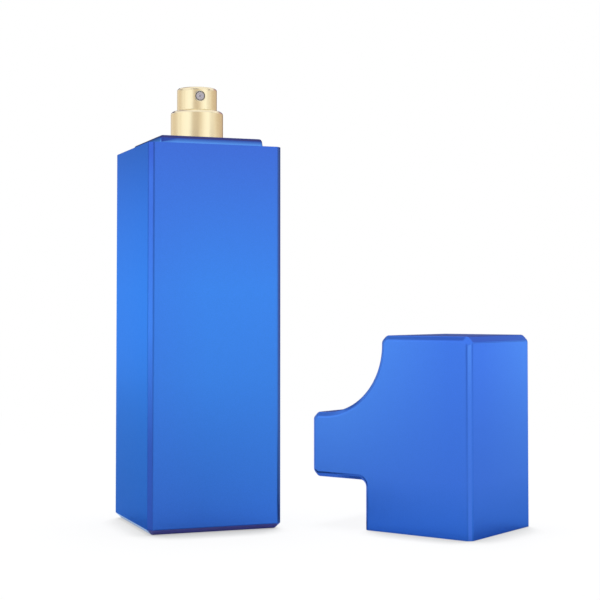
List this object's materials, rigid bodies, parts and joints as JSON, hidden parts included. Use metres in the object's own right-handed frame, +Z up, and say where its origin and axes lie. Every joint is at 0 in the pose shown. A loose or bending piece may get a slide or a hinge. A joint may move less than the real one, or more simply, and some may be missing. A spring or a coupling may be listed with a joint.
{
  "type": "fragrance spray bottle",
  "caption": "Square blue lacquered glass bottle with a crimped gold spray pump that presses and turns, and its lift-off block cap standing beside it.",
  "frame": {"origin": "centre of the bottle's base, on the surface it stands on", "axes": "+Z up along the bottle, -Y out of its front face, +X towards the side where the removed cap stands"},
  "size_m": [0.1255, 0.092, 0.1491],
  "materials": {
    "lacquered_glass": "satin metallic blue lacquer over glass",
    "lacquered_cap": "satin metallic blue lacquer over a moulded block",
    "gold_metal": "polished pale gold anodised",
    "bare_metal": "bright drawn sheet",
    "steel": "bright stainless",
    "pump_plastic": "natural moulded plastic",
    "nozzle_plastic": "pale grey moulded plastic",
    "tube_plastic": "clear extruded plastic",
    "seal_rubber": "soft moulded"
  },
  "bodies": {
    "bottle": {"bottle_glass": "lacquered_glass", "neck_gasket": "seal_rubber", "pump_housing": "pump_plastic", "pump_gland": "pump_plastic", "crimp_ferrule": "bare_metal", "dip_tube": "tube_plastic", "return_spring": "steel", "collar_liner": "pump_plastic", "collar_sleeve": "gold_metal"},
    "pump_column": {"stem": "pump_plastic", "piston": "pump_plastic", "piston_seat": "pump_plastic"},
    "spray_head": {"head_core": "pump_plastic", "head_shell": "gold_metal", "nozzle_insert": "nozzle_plastic"},
    "ball": {"inlet_ball": "steel"},
    "cap": {"cap_block": "lacquered_cap", "cap_liner": "pump_plastic"}
  },
  "joints": [
    {"name": "spray_press", "type": "slide", "parent": "bottle", "child": "pump_column", "axis": [0, 0, -1], "range_m": [0, 0.0033], "stiffness_N_per_m": 1200, "springref_m": -0.004, "deforming": ["return_spring"]},
    {"name": "head_turn", "type": "hinge", "parent": "pump_column", "child": "spray_head", "pos_m": [0, 0, 0.1459], "axis": [0, 0, 1], "continuous": true},
    {"name": "ball_lift", "type": "slide", "parent": "bottle", "child": "ball", "axis": [0, 0, 1], "range_m": [0, 0.0008]},
    {"name": "cap_lift", "type": "slide", "parent": "bottle", "child": "cap", "axis": [0, 0, 1], "range_m": [0, 0.155]}
  ]
}
